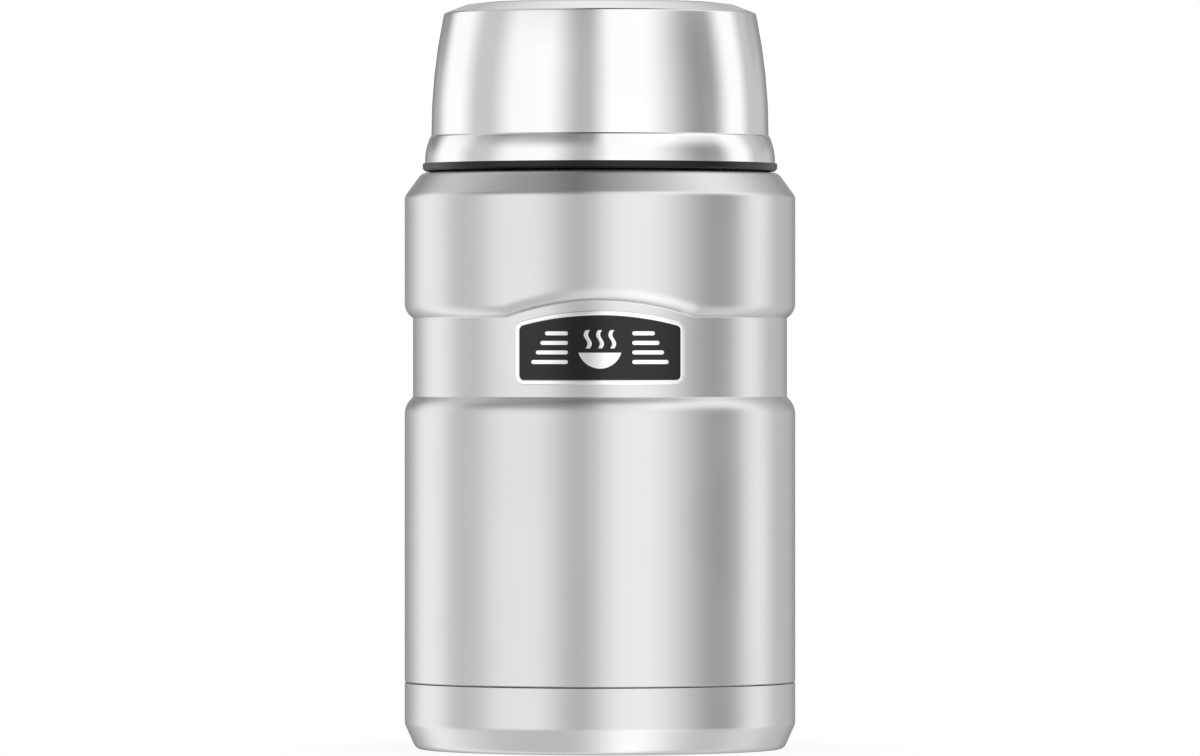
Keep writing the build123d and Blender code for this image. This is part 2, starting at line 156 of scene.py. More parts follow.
# %% Node helpers
def feed(tree, socket, value):
    """Links a number or another node's output to a socket, or sets a plain value on it."""
    source = value.socket if isinstance(value, Number) else value
    if isinstance(source, bpy.types.NodeSocket):
        tree.links.new(source, socket)
    else:
        socket.default_value = source


def node(tree, kind, inputs=None, **settings):
    """Adds a node. Settings are its properties, and inputs maps its sockets to what feeds them."""
    made = tree.nodes.new(kind)
    for name, value in settings.items():
        setattr(made, name, value)
    for key, value in (inputs or {}).items():
        feed(tree, made.inputs[key], value)
    return made


def calc(tree, operation, *values):
    """The result of a Math node on one to three values."""
    return Number(tree, node(tree, "ShaderNodeMath", dict(enumerate(values)), operation=operation).outputs[0])


def eased(tree, value, start, end, low=0.0, high=1.0, way="SMOOTHSTEP"):
    """A value brought from low at start to high at end, and held beyond them."""
    inputs = {"Value": value, "From Min": start, "From Max": end, "To Min": low, "To Max": high}
    return Number(tree, node(tree, "ShaderNodeMapRange", inputs, interpolation_type=way).outputs[0])


def parts(tree, vector):
    """The x, y and z of a vector."""
    return [Number(tree, part) for part in node(tree, "ShaderNodeSeparateXYZ", {0: vector}).outputs]


def joined(tree, x=0.0, y=0.0, z=0.0):
    """A vector made of three numbers."""
    return node(tree, "ShaderNodeCombineXYZ", {"X": x, "Y": y, "Z": z}).outputs[0]


def from_axis(x, y):
    """The distance from the jar's axis."""
    return (x * x + y * y).by("SQRT")


def mixed(tree, share, first, second):
    """The colour between two colours."""
    inputs = {0: share, 6: first, 7: second}
    return node(tree, "ShaderNodeMix", inputs, data_type="RGBA").outputs[2]


def object_place(tree):
    """Where a shaded point lies in its object."""
    return node(tree, "ShaderNodeTexCoord").outputs["Object"]


def camera_ray(tree):
    """1 on what the camera sees directly, 0 in reflections and for light."""
    return Number(tree, node(tree, "ShaderNodeLightPath").outputs["Is Camera Ray"])


def blank(kind, name):
    """A new material or world with an empty node tree, and that tree."""
    made = kind.new(name)
    made.use_nodes = True
    made.node_tree.nodes.clear()
    return made, made.node_tree


def grey(level):
    """A grey as a colour socket takes it."""
    return (level, level, level, 1.0)


def lamp(level):
    """The light of a panel, a breath warmer than grey."""
    return (1.01 * level, 0.994 * level, 0.997 * level, 1.0)


print("node helpers ready")

# %% [markdown]
# ## Studio light
# Metal shows what stands round it, so the light is five rings of large soft panels, one above the other, made in the
# world shader. A ramp over the compass angle gives each ring its panels and gaps, and the height of a direction
# blends one ring into the next. Camera rays skip all that and see plain white.

# %% World: rings of panels
ground_light, zenith_light = 1.1, 0.10
zenith_start, zenith_full = 74, 88
panel_rings = [  # where the ring fades in, then compass angles from -Y towards +X with the brightness there
    (-84, -70, {
        -180: 0.66, -150: 0.68, -126: 1.26, -93: 0.92, -76: 0.71, -21: 0.71, 24: 1.62, 78: 0.73,
        108: 0.95, 150: 0.67, 180: 0.66,
    }),
    (-36, -10, {
        -180: 0.05, -164: 0.33, -153: 0.49, -126: 1.21, -114: 1.21, -92: 0.70, -84: 0.70,
        -60: 1.18, -38: 1.21, -12: 0.57, -10: 0.58, 10: 1.27, 26: 1.27, 74: 0.39, 82: 0.44,
        103: 1.20, 110: 1.20, 126: 0.67, 144: 0.64, 166: 0.32, 180: 0.05,
    }),
    (3, 10, {
        -180: 0.60, -170: 0.48, -160: 0.22, -150: 0.30, -128: 1.18, -114: 1.18, -92: 0.70,
        -84: 0.70, -60: 1.18, -38: 1.21, -12: 0.57, -10: 0.58, 10: 1.22, 28: 1.22, 74: 0.38,
        82: 0.41, 103: 1.20, 110: 1.20, 126: 0.67, 144: 0.50, 160: 0.30, 170: 0.48, 180: 0.60,
    }),
    (15, 42, {
        -180: 1.00, -150: 0.54, -124: 0.78, -108: 0.62, -94: 0.42, -78: 0.32, -56: 0.45, -42: 0.46,
        -20: 0.29, -8: 0.36, 7: 1.16, 50: 1.40, 66: 1.22, 90: 1.26, 108: 1.32, 122: 1.00, 142: 0.60,
        160: 0.78, 180: 1.00,
    }),
    (50, 76, {
        -180: 0.40, -150: 0.50, -115: 0.70, -92: 0.50, -70: 0.24, -35: 0.04, 0: 0.24, 15: 0.25,
        55: 0.33, 80: 0.36, 104: 0.24, 140: 0.30, 180: 0.40,
    }),
]  # fmt: skip


def ring_light(tree, azimuth, stops):
    """Brightness of one ring of panels at a compass angle."""
    share = eased(tree, azimuth, -180, 180, way="LINEAR")
    ramp_node = node(tree, "ShaderNodeValToRGB", {"Fac": share})
    ramp = ramp_node.color_ramp
    ramp.interpolation = "EASE"
    for place, (angle, level) in enumerate(stops.items()):
        at = (angle + 180) / 360
        stop = ramp.elements[place] if place < 2 else ramp.elements.new(at)
        stop.position = at
        stop.color = lamp(level)
    return ramp_node.outputs["Color"]


# %% World: shader
def studio_world():
    """The world shader: the rings for light and reflections, plain white for the camera."""
    world, sky = blank(bpy.data.worlds, "studio")
    x, y, z = parts(sky, node(sky, "ShaderNodeTexCoord").outputs["Generated"])
    azimuth = x.by("ARCTAN2", y * -1).by("DEGREES")
    elevation = z.by("ARCSINE").by("DEGREES")
    light = lamp(ground_light)
    for start, full, stops in panel_rings:
        light = mixed(sky, eased(sky, elevation, start, full), light, ring_light(sky, azimuth, stops))
    light = mixed(sky, eased(sky, elevation, zenith_start, zenith_full), light, lamp(zenith_light))
    shown = node(sky, "ShaderNodeBackground", {"Color": mixed(sky, camera_ray(sky), light, grey(1.0))})
    node(sky, "ShaderNodeOutputWorld", {"Surface": shown.outputs[0]})
    return world


bpy.context.scene.world = studio_world()
print("studio with", len(panel_rings), "rings of panels")

# %% [markdown]
# ## Floor
# The jar stands on a disc as white as the background, with a soft shadow round the foot that fades out before the
# disc's edge. Reflections don't show the floor: polished metal mirrors the panels down to its foot, as on a clear
# stand.

# %% Floor
floor_radius, floor_gap = 0.5, 0.02 * mm
shadow_share, shadow_start, shadow_end = 0.1, 0.045, 0.095


def floor_finish():
    """White with a soft shadow near the middle, and clear from below."""
    material, tree = blank(bpy.data.materials, "pale_floor")
    x, y, _ = parts(tree, object_place(tree))
    shadow = eased(tree, from_axis(x, y), shadow_start, shadow_end, shadow_share, 0)
    white = camera_ray(tree) * (1 - shadow)
    matt = node(tree, "ShaderNodeBsdfDiffuse", {"Color": grey(0.9)}).outputs[0]
    glow = node(tree, "ShaderNodeEmission", {"Color": grey(1.0)}).outputs[0]
    seen = node(tree, "ShaderNodeMixShader", {0: white, 1: matt, 2: glow}).outputs[0]
    clear = node(tree, "ShaderNodeBsdfTransparent").outputs[0]
    below = node(tree, "ShaderNodeNewGeometry").outputs["Backfacing"]
    surface = node(tree, "ShaderNodeMixShader", {0: below, 1: seen, 2: clear}).outputs[0]
    node(tree, "ShaderNodeOutputMaterial", {"Surface": surface})
    return material


@contextmanager
def opened(mesh):
    """A mesh opened for editing, and written back at the end."""
    form = bmesh.new()
    form.from_mesh(mesh)
    yield form
    form.to_mesh(mesh)
    form.free()


floor_mesh = bpy.data.meshes.new("floor")
with opened(floor_mesh) as form:
    bmesh.ops.create_circle(form, cap_ends=True, segments=96, radius=floor_radius)
    bmesh.ops.translate(form, verts=form.verts, vec=(0, 0, -floor_gap))
floor_mesh.materials.append(floor_finish())
floor = new_piece("floor", floor_mesh)
floor.visible_glossy = False
floor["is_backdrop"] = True
print("floor", 2 * floor_radius, "m across")

# %% [markdown]
# ## Outlines
# A turned piece starts as an outline: corners in radius and height, each with its rounding. Pressed steel has no
# knife edges, so a corner without a rounding still gets a tiny one. Beside each arc goes a support point, because
# smooth shading spreads a bend over the whole next face, and on a mirror finish that shows as a warp.

# %% Outline helpers
edge = 0.12 * mm
support, support_share = 0.35 * mm, 0.3
arc_step, least_turn = radians(9), radians(0.5)


def arc_points(here, ways, rounding, turn, straights):
    """Points of a corner's rounding, with a support point on the straight on either side."""
    reach = rounding * tan(turn / 2)
    centre = here + (ways[0] + ways[1]).normalized() * rounding / cos(turn / 2)
    start = here + ways[0] * reach - centre
    end = here + ways[1] * reach - centre
    steps = max(2 if rounding <= edge else 4, ceil(turn / arc_step))
    points = [centre + start + ways[0] * min(support, support_share * straights[0])]
    for k in range(steps + 1):
        share = k / steps
        points.append(centre + (start * sin((1 - share) * turn) + end * sin(share * turn)) / sin(turn))
    points.append(centre + end + ways[1] * min(support, support_share * straights[1]))
    return points


def outline(corners):
    """Points through corners (radius, height) or (radius, height, rounding), and the shortest straight between two
    roundings. It closes unless it ends on the axis."""
    places = [Vector(corner[:2]) for corner in corners]
    roundings = [corner[2] if len(corner) > 2 else edge for corner in corners]
    open_ended = places[0].x == 0 and places[-1].x == 0
    count = len(places)
    ways, turns = [], []
    for i, here in enumerate(places):
        to_before, to_after = (places[i - 1] - here).normalized(), (places[(i + 1) % count] - here).normalized()
        ways.append((to_before, to_after))
        turn = pi - to_before.angle(to_after)
        turns.append(0 if turn < least_turn or open_ended and i in (0, count - 1) else turn)
    reaches = [rounding * tan(turn / 2) for rounding, turn in zip(roundings, turns)]
    straights = [(places[i] - places[i - 1]).length - reaches[i] - reaches[i - 1] for i in range(count)]
    points = []
    for i, here in enumerate(places):
        if turns[i]:
            points += arc_points(here, ways[i], roundings[i], turns[i], (straights[i], straights[(i + 1) % count]))
        else:
            points.append(here)
    if open_ended:
        return points, min(straights[1:])
    return points + points[:1], min(straights)


def sheet(corners, thickness, side=1):
    """Corners of a sheet whose shown face runs through the given corners, with its metal on the left of the way, or
    on the right if side is -1."""
    places = [Vector(corner[:2]) for corner in corners]
    ways = [(b - a).normalized() for a, b in zip(places, places[1:])]
    far = []
    for i, here in enumerate(places):
        way_in, way_out = ways[max(i - 1, 0)], ways[min(i, len(ways) - 1)]
        middle = way_in + way_out
        reach = side * thickness / (1 + way_in.dot(way_out))
        bend = side * way_in.cross(way_out)
        rounding = corners[i][2] if len(corners[i]) > 2 else edge
        if abs(bend) > 1e-6:
            rounding = max(rounding - thickness, edge) if bend > 0 else rounding + thickness
        far.append((here.x - middle.y * reach, here.y + middle.x * reach, rounding))
    if places[-1].x == 0:
        return far[::-1] + list(corners)
    return list(corners) + far[::-1]


print("outline helpers ready")

# %% [markdown]
# ## A tree that turns an outline
# A grid has a row for each point of an outline and a column for each step round the jar, and every grid point moves
# to the outline's radius and height at its column's angle. So one Geometry Nodes tree serves every turned piece, and
# its column count is a named input. A function marked with @shape_tree is such a tree, written as formulas.

# %% Geometry tree helpers
closing_distance = 0.002 * mm


def shape_tree(make):
    """Turns a function into a geometry tree: what it takes are the named inputs, and what it returns is the shape.
    Ends the tree with smooth faces, no instances and the finish."""
    tree = bpy.data.node_groups.new(make.__name__, "GeometryNodeTree")
    sizes = list(signature(make).parameters.values())[2:]
    kinds = {"shape": "Geometry", "finish": "Material"}
    kinds |= {size.name: "Int" if size.annotation is int else "Float" for size in sizes}
    for title, kind in kinds.items():
        tree.interface.new_socket(name=title, in_out="INPUT", socket_type="NodeSocket" + kind)
    tree.interface.new_socket(name="shape", in_out="OUTPUT", socket_type="NodeSocketGeometry")
    given = tree.nodes.new("NodeGroupInput").outputs
    made = make(tree, given["shape"], *[Number(tree, given[size.name]) for size in sizes])
    smooth = node(tree, "GeometryNodeSetShadeSmooth", {"Geometry": made}).outputs[0]
    plain = node(tree, "GeometryNodeRealizeInstances", {"Geometry": smooth}).outputs[0]
    coated = node(tree, "GeometryNodeSetMaterial", {"Geometry": plain, "Material": given["finish"]}).outputs[0]
    node(tree, "NodeGroupOutput", {"shape": coated})
    return tree


def point_parts(tree):
    """The x, y and z of each point."""
    return parts(tree, node(tree, "GeometryNodeInputPosition").outputs[0])


def counted(tree):
    """The number of each point in its shape."""
    return Number(tree, node(tree, "GeometryNodeInputIndex").outputs[0])


def moved(tree, shape, x, y, z):
    """A shape with its points moved to new places."""
    inputs = {"Geometry": shape, "Position": joined(tree, x, y, z)}
    return node(tree, "GeometryNodeSetPosition", inputs).outputs[0]


def closed(tree, shape):
    """A shape with its points merged where its sides meet."""
    inputs = {"Geometry": shape, "Distance": closing_distance}
    return node(tree, "GeometryNodeMergeByDistance", inputs).outputs[0]


def grid_over(tree, shape, columns):
    """A grid with a row for each point of a shape, the column of each grid point and the x, y and z of its row."""
    rows = Number(tree, node(tree, "GeometryNodeAttributeDomainSize", {0: shape}).outputs["Point Count"])
    grid = node(tree, "GeometryNodeMeshGrid", {"Vertices X": columns + 1, "Vertices Y": rows}).outputs[0]
    index = counted(tree)
    place = node(tree, "GeometryNodeInputPosition").outputs[0]
    inputs = {"Geometry": shape, "Value": place, "Index": index.by("MODULO", rows)}
    sampled = node(tree, "GeometryNodeSampleIndex", inputs, data_type="FLOAT_VECTOR", domain="POINT")
    return grid, ((index + 0.5) / rows).by("FLOOR"), parts(tree, sampled.outputs[0])


# %% Piece helpers
def apply_tree(piece, tree, finish, **sizes):
    """Puts a tree on a piece as a modifier and sets its named inputs by their identifiers."""
    modifier = piece.modifiers.new(tree.name, "NODES")
    modifier.node_group = tree
    values = {"finish": finish} | sizes
    for socket in tree.interface.items_tree:
        if socket.in_out == "INPUT" and socket.name in values:
            modifier[socket.identifier] = values[socket.name]


def settled_mesh(piece):
    """What a piece's curve or modifiers make, as a plain mesh."""
    graph = bpy.context.evaluated_depsgraph_get()
    return bpy.data.meshes.new_from_object(piece.evaluated_get(graph))


def seat(piece, body, *nodes):
    """Turns what a piece's modifiers make into its own plain mesh, with every face pointing outwards. Then says which
    body the piece rides on, which slot its finish has and which nodes it stands for."""
    if piece.modifiers:
        made = settled_mesh(piece)
        piece.modifiers.clear()
        piece.data = made
        with opened(made) as form:
            bmesh.ops.recalc_face_normals(form, faces=form.faces)
    slot = slots[piece.data.materials[-1].name]
    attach(piece, body)
    if nodes:
        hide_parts(*nodes)
    print(piece.name, "rides on", body, "as", slot, "with", len(piece.data.polygons), "faces")


# %% The turning tree
@shape_tree
def turned_from_outline(tree, shape, columns: int):
    """Turns the outline that a mesh holds in its points: x is the radius, z the height."""
    grid, column, (radius, _, height) = grid_over(tree, shape, columns)
    angle = column / columns * (2 * pi)
    return closed(tree, moved(tree, grid, radius * angle.by("SINE"), radius * angle.by("COSINE") * -1, height))


def turned(name, corners, finish, body, stands_for, columns=288, press=None, **sizes):
    """Turns a piece from an outline, presses it with a second tree if it isn't all round, and seats it."""
    mesh = bpy.data.meshes.new(name)
    points, shortest = outline(corners)
    mesh.from_pydata([(p.x, 0, p.y) for p in points], [(i, i + 1) for i in range(len(points) - 1)], [])
    print(name, "outline has", len(points), "points, shortest straight", round(shortest / mm, 3), "mm")
    piece = new_piece(name, mesh)
    apply_tree(piece, turned_from_outline, finish, columns=columns)
    if press:
        apply_tree(piece, press, finish, **sizes)
    seat(piece, body, stands_for)


print("turning tree has", len(turned_from_outline.nodes), "nodes")

# %% [markdown]
# ## Shared surface effects
# The finishes share three effects: fine lines left by turning and brushing, which run round the axis; soft clouds,
# where a surface is a little more or less glossy; and the grain that a mould leaves. Each is one node group with
# named inputs, placed in each finish with its own values.

# %% Effect groups
def effect(make):
    """Turns a function into a shader group: what it takes, with its usual values, are the named inputs."""
    group = bpy.data.node_groups.new(make.__name__, "ShaderNodeTree")
    sizes = list(signature(make).parameters.values())[1:]
    for size in sizes:
        socket = group.interface.new_socket(name=size.name, in_out="INPUT", socket_type="NodeSocketFloat")
        socket.default_value = size.default
    group.interface.new_socket(name="value", in_out="OUTPUT", socket_type="NodeSocketFloat")
    given = group.nodes.new("NodeGroupInput").outputs
    node(group, "NodeGroupOutput", {"value": make(group, *[Number(group, given[size.name]) for size in sizes])})
    return group


face_share, cell_share = 1.7, 0.6


@effect
def turning_lines(group, around=3.0, across=6000.0):
    """Fine lines round the axis. They follow the height on a wall and the radius on a flat face."""
    x, y, z = parts(group, object_place(group))
    radius = from_axis(x, y)
    where = joined(group, x / radius * around, y / radius * around, (radius * face_share + z) * across)
    inputs = {"Vector": where, "Scale": 1.0, "Detail": 2.0, "Roughness": 0.6}
    return node(group, "ShaderNodeTexNoise", inputs).outputs[0]


@effect
def soft_clouds(group, size=30.0, sharpness=0.2):
    """Slow, cloudy variation between 0 and 1."""
    noise = node(group, "ShaderNodeTexNoise", {"Vector": object_place(group), "Scale": size, "Detail": 3.0})
    low = sharpness * 0.5 + 0.25
    return eased(group, noise.outputs[0], low, 1 - low)


@effect
def moulded_grain(group, size=2500.0):
    """The fine pebbled grain of a moulded surface."""
    place = object_place(group)
    cells = node(group, "ShaderNodeTexVoronoi", {"Vector": place, "Scale": size}, feature="SMOOTH_F1")
    noise = node(group, "ShaderNodeTexNoise", {"Vector": place, "Scale": size, "Detail": 2.0})
    return Number(group, cells.outputs["Distance"]) * cell_share + noise.outputs[0]


print("effects", turning_lines.name, soft_clouds.name, moulded_grain.name)

# %% [markdown]
# ## Finishes
# A finish is one material with one Principled shader. What is the same all over is set on the shader's sockets, and
# what varies comes from the effect groups through Base Color, Roughness or a Bump node. Brushed steel is anisotropic
# too: its lines run round the jar, so they spread a highlight up and down, not sideways.

# %% Finish helpers
slots = {}
quarter_turn = 0.25


def finish(name, **sockets):
    """A material with one Principled shader, its constant sockets set. Its name is also its slot in the record."""
    material, tree = blank(bpy.data.materials, name)
    slots[material.name] = name
    shader = node(tree, "ShaderNodeBsdfPrincipled")
    node(tree, "ShaderNodeOutputMaterial", {"Surface": shader.outputs[0]})
    for socket, value in sockets.items():
        shader.inputs[socket.replace("_", " ")].default_value = value
    return material, tree, shader


def placed(tree, group, **sizes):
    """The output of an effect group placed in a finish with its own sizes."""
    return Number(tree, node(tree, "ShaderNodeGroup", sizes, node_tree=group).outputs[0])


def vary(tree, shader, socket, value, low, high):
    """Drives a number socket between low and high."""
    feed(tree, shader.inputs[socket], eased(tree, value, 0, 1, low, high, "LINEAR"))


def tint(tree, shader, value, first, second):
    """Drives the base colour between two colours."""
    feed(tree, shader.inputs["Base Color"], mixed(tree, value, first, second))


def emboss(tree, shader, height, depth):
    """Lets a pattern of that depth bend the surface's shading."""
    bump = node(tree, "ShaderNodeBump", {"Height": height, "Distance": depth, "Strength": 1.0})
    feed(tree, shader.inputs["Normal"], bump.outputs[0])


def along_the_lines(tree, shader):
    """Turns the shader's anisotropy so that it follows lines that run round the axis."""
    around = node(tree, "ShaderNodeTangent", direction_type="RADIAL", axis="Z")
    feed(tree, shader.inputs["Tangent"], around.outputs[0])
    shader.inputs["Anisotropic Rotation"].default_value = quarter_turn


# %% Steel finishes
line_shade, haze_shade, cloud_share = 0.96, 0.985, 0.4


def brushed_steel(name, level, low, high, anisotropy, depth):
    """Steel with fine lines round the axis: its grey level, its range of roughness and the lines' depth."""
    material, tree, shader = finish(name, Metallic=1.0, Anisotropic=anisotropy)
    lines = placed(tree, turning_lines)
    clouds = placed(tree, soft_clouds, size=26.0)
    tint(tree, shader, lines, grey(line_shade * level), grey(level))
    mix = clouds * cloud_share + lines * (1 - cloud_share)
    vary(tree, shader, "Roughness", mix, low, high)
    emboss(tree, shader, lines, depth)
    along_the_lines(tree, shader)
    return material


def polished_steel(name, level, low, high):
    """Mirror-polished steel with a breath of haze."""
    material, tree, shader = finish(name, Metallic=1.0)
    clouds = placed(tree, soft_clouds, size=45.0, sharpness=0.5)
    lines = placed(tree, turning_lines, around=6.0, across=900.0)
    tint(tree, shader, lines, grey(haze_shade * level), grey(level))
    vary(tree, shader, "Roughness", clouds, low, high)
    return material


satin = brushed_steel("satin_steel", 0.70, 0.26, 0.34, 0.5, 0.0005 * mm)
bright = polished_steel("polished_steel", 0.82, 0.035, 0.075)
liner_finish = brushed_steel("liner_steel", 0.74, 0.2, 0.3, 0.4, 0.0006 * mm)
bare_finish = brushed_steel("bare_steel", 0.62, 0.34, 0.5, 0.2, 0.002 * mm)
badge_bright = polished_steel("badge_bright", 0.92, 0.015, 0.04)
print("steels", satin.name, bright.name, liner_finish.name, bare_finish.name, badge_bright.name)


# %% Plastic, rubber and small finishes
def moulded(name, dark, pale, low, high, grain, depth, **sockets):
    """A moulded surface between two colours and two values of roughness, with grain of that fineness and depth."""
    material, tree, shader = finish(name, **sockets)
    clouds = placed(tree, soft_clouds, size=60.0)
    bumps = placed(tree, moulded_grain, size=grain)
    tint(tree, shader, clouds, (*dark, 1), (*pale, 1))
    vary(tree, shader, "Roughness", clouds, low, high)
    emboss(tree, shader, bumps, depth)
    return material


black_plastic = moulded(
    "black_plastic", (0.004,) * 3, (0.006,) * 3, 0.24, 0.32, 2600, 0.003 * mm, Specular_IOR_Level=0.33
)
grey_plastic = moulded("grey_plastic", (0.11, 0.11, 0.115), (0.13, 0.13, 0.135), 0.36, 0.44, 2600, 0.004 * mm)
silicone = moulded("silicone", (0.50, 0.51, 0.51), (0.56, 0.57, 0.57), 0.42, 0.5, 3500, 0.003 * mm)
adhesive = moulded("adhesive", (0.62, 0.60, 0.55), (0.70, 0.68, 0.63), 0.4, 0.55, 700, 0.02 * mm)
foam = moulded("foam", (0.78, 0.78, 0.75), (0.86, 0.86, 0.83), 0.85, 0.95, 900, 0.25 * mm)
getter = moulded("getter", (0.10, 0.10, 0.11), (0.15, 0.15, 0.16), 0.55, 0.7, 1800, 0.05 * mm, Metallic=0.8)
braze = moulded("braze", (0.62, 0.44, 0.22), (0.72, 0.54, 0.30), 0.3, 0.45, 900, 0.02 * mm, Metallic=1.0)
copper_foil = moulded("copper_foil", (0.80, 0.42, 0.28), (0.86, 0.50, 0.36), 0.14, 0.28, 160, 0.05 * mm, Metallic=1.0)
badge_black = moulded(
    "badge_black", (0.002,) * 3, (0.003,) * 3, 0.06, 0.10, 3200, 0.0002 * mm, Specular_IOR_Level=0.4
)
print("finishes", len(bpy.data.materials))

# %% [markdown]
# ## Base cup
# The bottom of the jar is a pressed steel cup that sleeves over the shell, with a chamfer down to a narrow foot ring
# and a shallow recess. It is one open outline that ends on the axis, so the turning tree closes it at the pole.

# %% Base cup
steel_sheet, seam = 0.5 * mm, 0.5 * mm
crisp, soft = 0.3 * mm, 0.8 * mm
chamfer_height, chamfer_run, chamfer_round = 6.7 * mm, 3.0 * mm, 2.5 * mm
foot_width, foot_round = 4.4 * mm, 2.2 * mm
recess_height, recess_run = 2.2 * mm, 2.0 * mm

foot_outer = body_radius - chamfer_run
foot_inner = foot_outer - foot_width
base_way = [
    (body_radius, base_reach.z),
    (body_radius, chamfer_height, chamfer_round),
    (foot_outer, 0, foot_round),
    (foot_inner, 0, soft),
    (foot_inner - recess_run, recess_height, soft),
    (0, recess_height),
]
turned("base_cup_turned", sheet(base_way, steel_sheet, -1), satin, "jar", "base_cup", 360)

# %% [markdown]
# ## Outer shell
# The main piece is a tall pressed tube with a waist, a shoulder and a neck. Only the waist's upper step isn't all
# round: it lifts into a low arch over the badge. A second tree does that by the rule of an arch, so the shell stays
# one smooth sheet.

# %% Outer shell: outline
waist_depth, waist_height, waist_below_badge = 2.2 * mm, 20.97 * mm, 3.27 * mm
step_rise, step_round = 1.5 * mm, 4.5 * mm
waist_top_edge, waist_foot_edge = 0.5 * mm, 0.15 * mm
lower_step_rise, lower_step_round = 2.45 * mm, 5.7 * mm
shoulder_height, shoulder_run = 6.25 * mm, 4.6 * mm
shoulder_low_round, shoulder_high_round = 2.3 * mm, 2.2 * mm
neck_height, neck_radius, neck_round = 10.0 * mm, 37.6 * mm, 0.7 * mm
sleeve_fit = 0.1 * mm

waist_radius = body_radius - waist_depth
waist_bottom = badge_foot.z - waist_below_badge
waist_top = waist_bottom + waist_height
ledge = shell_reach.z - neck_height
shoulder_break = ledge - shoulder_height
joggle_radius = body_radius - steel_sheet - sleeve_fit

# %% The arch tree
arch_half_width, arch_rise, arch_blend = 24.6 * mm, 4.25 * mm, 0.45 * mm
full_below, full_above = 1.0 * mm, 2.5 * mm
arch_radius = (arch_half_width**2 + arch_rise**2) / (2 * arch_rise)
lift_start, lift_full_start = waist_bottom + waist_height / 2, waist_top - full_below
lift_full_end = waist_top + step_rise + full_above
lift_end = waist_top + arch_rise + 2 * step_round


@shape_tree
def arch_over_badge(tree, shape, curve, rise, blend, waist, start, full_start, full_end, end):
    """Lifts the points round a step into a circular arch that faces -Y and fades out above and below the step."""
    x, y, z = point_parts(tree)
    side = x / from_axis(x, y) * waist
    crown = (curve * curve - side * side).by("SQRT") - curve + rise
    arch = crown.by("SMOOTH_MAX", 0.0, blend)
    rising = eased(tree, z, start, full_start, way="LINEAR")
    falling = eased(tree, z, full_end, end, 1, 0, "LINEAR")
    lift = arch * (rising.by("MINIMUM", falling) * y.by("LESS_THAN", 0.0))
    inputs = {"Geometry": shape, "Offset": joined(tree, z=lift)}
    return node(tree, "GeometryNodeSetPosition", inputs).outputs[0]


print("arch of radius", round(arch_radius / mm, 1), "mm")

# %% Outer shell: shape
shell_way = [
    (joggle_radius, shell_foot.z),
    (joggle_radius, base_reach.z),
    (body_radius, base_reach.z + seam),
    (body_radius, waist_bottom - lower_step_rise, lower_step_round),
    (waist_radius, waist_bottom, waist_foot_edge),
    (waist_radius, lift_start),
    (waist_radius, lift_full_start),
    (waist_radius, waist_top, waist_top_edge),
    (body_radius, waist_top + step_rise, step_round),
    (body_radius, lift_end),
    (body_radius, shoulder_break, shoulder_low_round),
    (body_radius - shoulder_run, ledge, shoulder_high_round),
    (neck_radius, ledge, neck_round),
    (neck_radius, shell_reach.z),
]
arch_sizes = {"curve": arch_radius, "rise": arch_rise, "blend": arch_blend, "waist": waist_radius}
arch_sizes |= {"start": lift_start, "full_start": lift_full_start, "full_end": lift_full_end, "end": lift_end}
shell = sheet(shell_way, steel_sheet)
turned("outer_shell_turned", shell, satin, "jar", "outer_shell", 360, arch_over_badge, **arch_sizes)

# %% [markdown]
# ## Thread ridges
# The stopper and the bowl each screw on over four short ridges. A tree carries a ridge's small section along a helix,
# lets it run out at both ends and repeats it round the axis, for ridges that point outwards and inwards alike.

# %% The thread tree
thread_height, thread_gap, thread_sink = 1.2 * mm, 0.4 * mm, 0.3 * mm
thread_lead, thread_starts = 12.0 * mm, 4
thread_fade, thread_steps = radians(12), 60
outer_thread_span, inner_thread_span = radians(75), radians(60)
# how far each point of the section stands out, and its half width there
ridge_side = [(-thread_sink, 0.85 * mm), (0.0, 0.74 * mm), (1.0 * mm, 0.5 * mm), (thread_height, 0.3 * mm)]
ridge_below = [(out, -half) for out, half in ridge_side]
ridge_section = ridge_below + ridge_side[::-1] + ridge_below[:1]


@shape_tree
def thread_ridges(tree, shape, root, side, low, lead, span, fade, starts: int, steps: int):
    """Carries the section in a mesh's points along a helix: x is how far it stands out, z is along the axis."""
    grid, column, (out, _, along) = grid_over(tree, shape, steps)
    turn = column / steps * span
    share = eased(tree, turn.by("MINIMUM", span - turn), 0, fade, way="LINEAR")
    radius = root + out * share * side
    height = along * share + (low + turn / (2 * pi) * lead)
    ridge = moved(tree, grid, radius * turn.by("COSINE"), radius * turn.by("SINE"), height)
    spots = node(tree, "GeometryNodeMeshLine", {"Count": starts, "Offset": (0, 0, 0)}).outputs[0]
    facing = joined(tree, z=counted(tree) * (2 * pi / starts))
    rotation = node(tree, "FunctionNodeEulerToRotation", {0: facing}).outputs[0]
    inputs = {"Points": spots, "Instance": closed(tree, ridge), "Rotation": rotation}
    return node(tree, "GeometryNodeInstanceOnPoints", inputs).outputs[0]


def thread(name, root, low, side, finish, body):
    """Makes and seats the four ridges of one thread: side 1 points them outwards and -1 inwards."""
    mesh = bpy.data.meshes.new(name)
    mesh.from_pydata([(x, 0, z) for x, z in ridge_section], [], [])
    piece = new_piece(name, mesh)
    sizes = {"root": root, "side": float(side), "low": low, "lead": thread_lead, "fade": thread_fade}
    span = outer_thread_span if side > 0 else inner_thread_span
    apply_tree(piece, thread_ridges, finish, **sizes, span=span, starts=thread_starts, steps=thread_steps)
    seat(piece, body)


# %% Neck thread
ridge_pitch = thread_lead / thread_starts
neck_thread_rise, cup_thread_rise = 4.3 * mm, 3.6 * mm
neck_thread_low = ledge + neck_thread_rise
thread("neck_thread", neck_radius, neck_thread_low, 1, satin, "jar")

